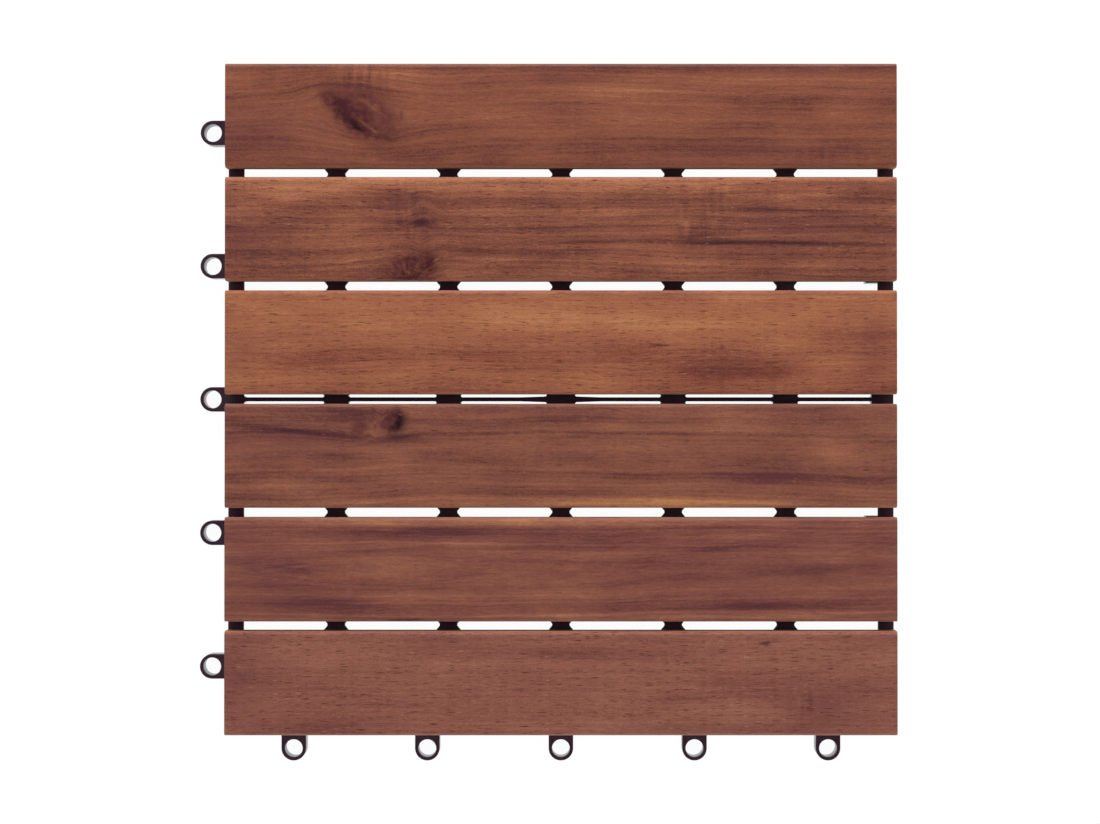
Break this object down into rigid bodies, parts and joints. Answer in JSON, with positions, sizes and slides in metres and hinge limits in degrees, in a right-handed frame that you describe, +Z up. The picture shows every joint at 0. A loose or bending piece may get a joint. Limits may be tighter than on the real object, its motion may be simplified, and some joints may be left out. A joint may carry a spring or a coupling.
{
  "type": "interlocking deck tile",
  "caption": "Square deck tile of parallel hardwood slats screwed to a moulded plastic grid, with round loops on two sides and pegs on the other two that lock tile to tile.",
  "frame": {"origin": "middle of the tile at ground level, under the central foot", "axes": "+Z up; X along the slats, with the loops on the -X and -Y sides and the pegs on the +X and +Y sides"},
  "size_m": [0.3117, 0.3117, 0.024],
  "materials": {
    "grid_plastic": "black moulded polypropylene, satin",
    "slat_wood": "oiled reddish-brown hardwood, satin",
    "screw_steel": "zinc-plated steel"
  },
  "bodies": {
    "root": {"base_grid": "grid_plastic", "slat_1": "slat_wood", "slat_2": "slat_wood", "slat_3": "slat_wood", "slat_4": "slat_wood", "slat_5": "slat_wood", "slat_6": "slat_wood", "slat_1_screws": "screw_steel", "slat_2_screws": "screw_steel", "slat_3_screws": "screw_steel", "slat_4_screws": "screw_steel", "slat_5_screws": "screw_steel", "slat_6_screws": "screw_steel"}
  },
  "joints": []
}
